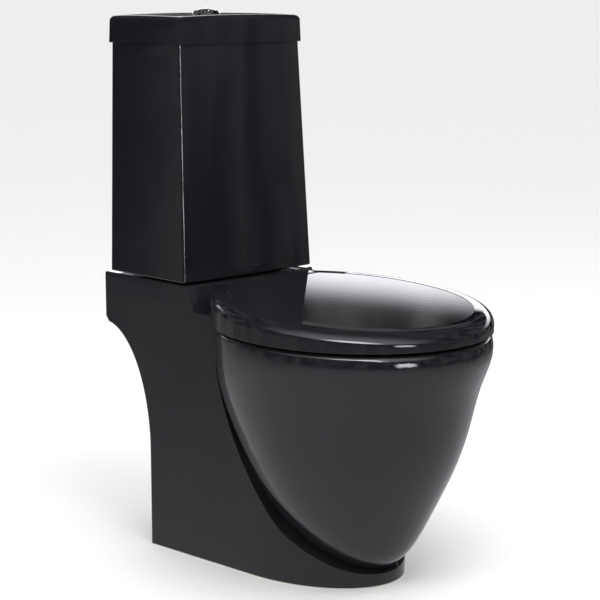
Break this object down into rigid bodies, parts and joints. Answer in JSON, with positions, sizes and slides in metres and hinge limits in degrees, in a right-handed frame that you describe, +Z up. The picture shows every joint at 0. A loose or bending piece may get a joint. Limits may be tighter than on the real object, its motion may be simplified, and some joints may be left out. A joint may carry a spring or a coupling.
{
  "type": "close coupled toilet",
  "caption": "Close coupled toilet: egg-shaped ceramic pan with a cistern on its rear shelf, a wrap-over seat and cover, a lift-off lid and a dual push button.",
  "frame": {"origin": "centre of the bounding box on the floor", "axes": "+Z up, -Y to the front of the bowl, +X to the right of a person facing the toilet"},
  "size_m": [0.386, 0.6248, 0.825],
  "materials": {
    "black_glaze": "gloss black glaze",
    "black_seat": "gloss black moulded thermoset",
    "chrome": "polished",
    "steel": "plain",
    "brass": "plain",
    "rubber": "matt black",
    "white_plastic": "moulded white"
  },
  "bodies": {
    "body": {"pan": "black_glaze", "pan_well": "black_glaze", "trapway": "black_glaze", "cistern": "black_glaze", "coupling_bolts": "brass", "coupling_head_washers": "rubber", "coupling_pads": "rubber", "coupling_plate_washers": "steel", "coupling_wing_nuts": "white_plastic", "doughnut_seal": "rubber", "flush_valve_body": "white_plastic", "flush_valve_gasket": "rubber", "flush_valve_backnut": "white_plastic", "rocker_pin": "steel", "fill_valve_shank": "white_plastic", "fill_valve_gasket": "rubber", "fill_valve_nut": "white_plastic", "fill_valve_head": "white_plastic", "float_lever_pin": "steel", "hinge_gaskets": "rubber", "hinge_posts": "chrome", "hinge_pins": "steel", "hinge_studs": "steel", "hinge_stud_bushes": "rubber", "hinge_wing_nuts": "white_plastic"},
    "seat_ring": {"seat_ring": "black_seat", "ring_buffers": "rubber"},
    "seat_cover": {"seat_cover": "black_seat", "cover_buffers": "rubber"},
    "cistern_lid": {"cistern_lid": "black_glaze", "button_bezel": "chrome", "button_nut": "white_plastic"},
    "full_button": {"full_flush_button": "chrome", "full_flush_rod": "white_plastic", "full_flush_spring": "steel"},
    "half_button": {"half_flush_button": "chrome", "half_flush_rod": "white_plastic", "half_flush_spring": "steel"},
    "full_rocker": {"full_flush_rocker": "white_plastic"},
    "half_rocker": {"half_flush_rocker": "white_plastic"},
    "flush_tube": {"overflow_tube": "white_plastic", "flush_seal": "rubber"},
    "float": {"float_cup": "white_plastic", "float_rod": "white_plastic"},
    "float_lever": {"float_lever": "white_plastic"}
  },
  "joints": [
    {"name": "seat_ring_hinge", "type": "hinge", "parent": "body", "child": "seat_ring", "pos_m": [0, 0.066, 0.404], "axis": [-1, 0, 0], "range_deg": [0, 95]},
    {"name": "seat_cover_hinge", "type": "hinge", "parent": "seat_ring", "child": "seat_cover", "pos_m": [0, 0.066, 0.404], "axis": [1, 0, 0], "range_deg": [-95, 0]},
    {"name": "cistern_lid_lift", "type": "slide", "parent": "body", "child": "cistern_lid", "axis": [0, 0, 1], "range_m": [0, 0.12]},
    {"name": "full_flush_press", "type": "slide", "parent": "cistern_lid", "child": "full_button", "axis": [0, 0, -1], "range_m": [0, 0.005], "stiffness_N_per_m": 600, "springref_m": -0.003, "deforming": ["full_flush_spring"]},
    {"name": "half_flush_press", "type": "slide", "parent": "cistern_lid", "child": "half_button", "axis": [0, 0, -1], "range_m": [0, 0.005], "stiffness_N_per_m": 600, "springref_m": -0.003, "deforming": ["half_flush_spring"]},
    {"name": "full_rocker_turn", "type": "hinge", "parent": "body", "child": "full_rocker", "pos_m": [0, 0.216, 0.733], "axis": [-1, 0, 0], "range_deg": [0, 26.1]},
    {"name": "half_rocker_turn", "type": "hinge", "parent": "body", "child": "half_rocker", "pos_m": [0, 0.216, 0.733], "axis": [-1, 0, 0], "range_deg": [0, 26.1]},
    {"name": "flush_valve_lift", "type": "slide", "parent": "body", "child": "flush_tube", "axis": [0, 0, 1], "range_m": [0, 0.0053]},
    {"name": "float_slide", "type": "slide", "parent": "body", "child": "float", "axis": [0, 0, 1], "range_m": [-0.014, 0]},
    {"name": "float_lever_turn", "type": "hinge", "parent": "body", "child": "float_lever", "pos_m": [-0.08, 0.268, 0.726], "axis": [-1, 0, 0], "range_deg": [-20.9, 0]}
  ],
  "couplings": [
    {"joint": "full_rocker_turn", "follows": "full_flush_press", "rad_per_m": 90.909},
    {"joint": "half_rocker_turn", "follows": "half_flush_press", "rad_per_m": 90.909},
    {"joint": "flush_valve_lift", "follows": "full_flush_press", "ratio": 1.05},
    {"joint": "float_lever_turn", "follows": "float_slide", "rad_per_m": 25.974}
  ]
}
